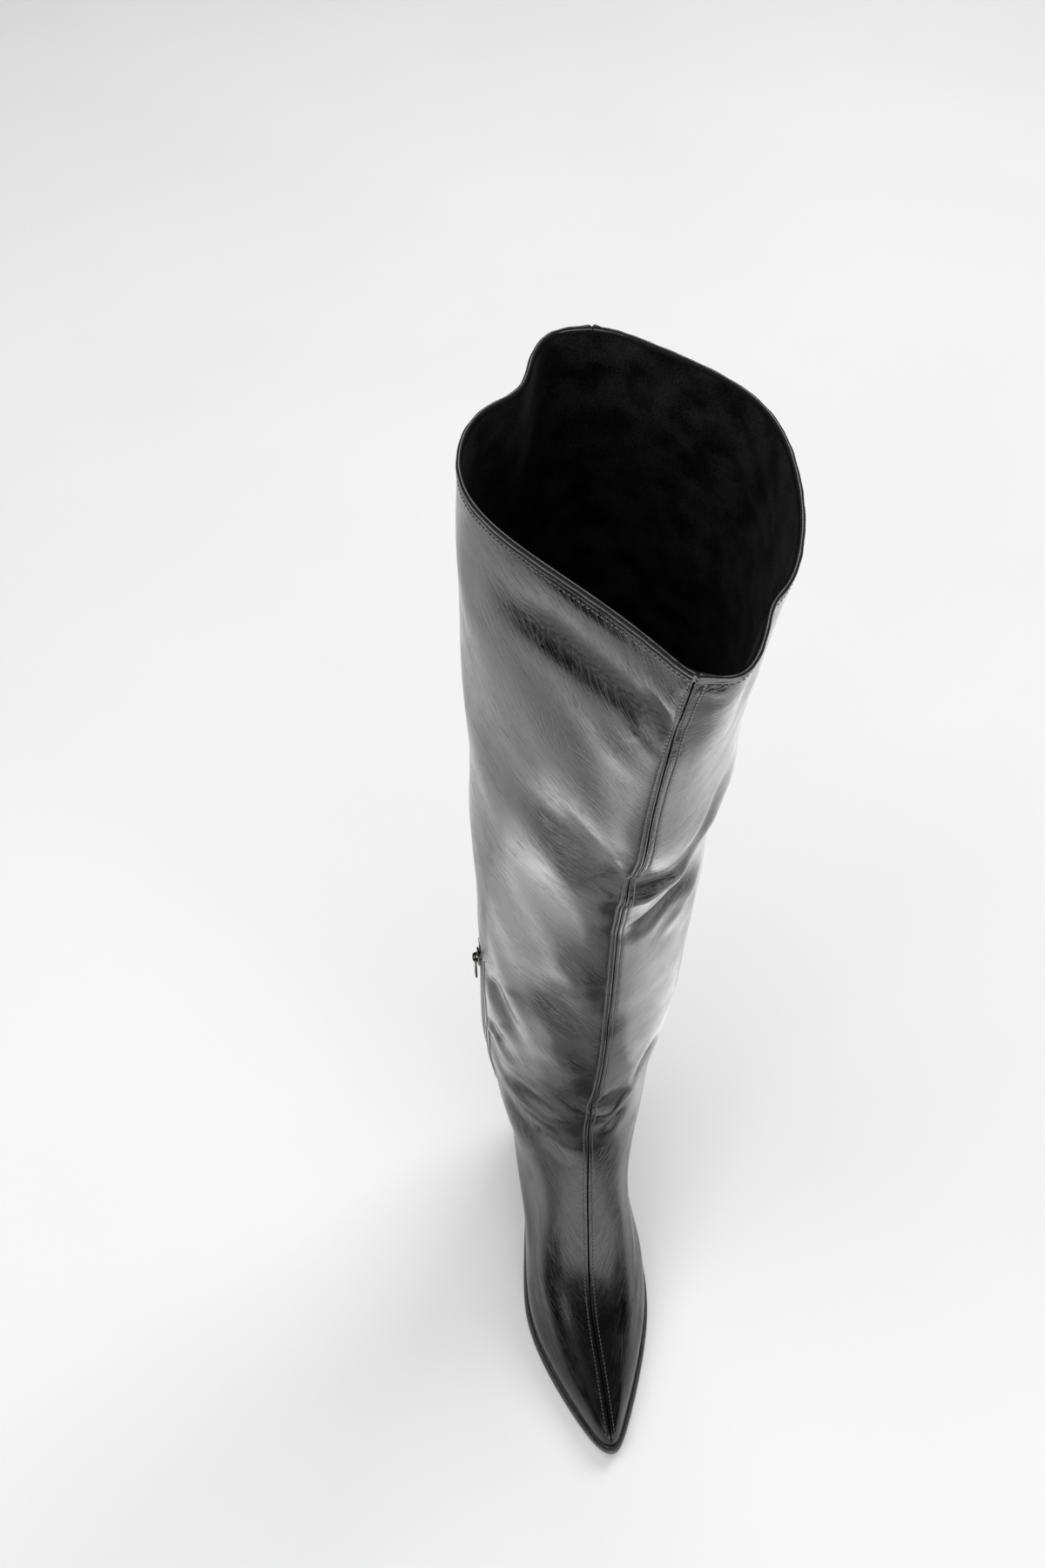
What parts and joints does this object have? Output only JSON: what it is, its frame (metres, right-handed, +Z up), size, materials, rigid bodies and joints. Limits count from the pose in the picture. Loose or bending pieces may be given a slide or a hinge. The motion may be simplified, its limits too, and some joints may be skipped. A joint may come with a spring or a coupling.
{
  "type": "over-the-knee boot",
  "caption": "Over-the-knee boot with a pointed toe, seamed hollow leather shaft, block heel and inner-side zip with a swinging pull tab.",
  "frame": {"origin": "on the floor under the middle of the heel's contact face", "axes": "+Z up, the toe points to -Y, +X is the outer (little-toe) side of the left foot"},
  "size_m": [0.1262, 0.2501, 0.6264],
  "materials": {
    "black_leather": "smooth, polished, fine grain",
    "sole_leather": "satin, dressed edge",
    "sock_lining": "matt, brushed",
    "heel_cover": "smooth, polished",
    "lift_rubber": "matt",
    "zip_fabric": "woven, matt",
    "zip_coil": "satin coil",
    "dark_metal": "polished dark nickel",
    "lining": "matt, suede-like",
    "thread": "bonded thread, satin"
  },
  "bodies": {
    "boot": {"upper": "black_leather", "outsole": "sole_leather", "insole": "sock_lining", "heel_block": "heel_cover", "top_lift": "lift_rubber", "zip_tape": "zip_fabric", "zip_teeth": "zip_coil", "zip_slider": "dark_metal"},
    "pull_tab": {"zip_pull": "dark_metal"}
  },
  "joints": [
    {"name": "pull_swing", "type": "hinge", "parent": "boot", "child": "pull_tab", "pos_m": [-0.05296, -0.03236, 0.26297], "axis": [0.0028, 1, 0], "range_deg": [-3, 150]}
  ]
}
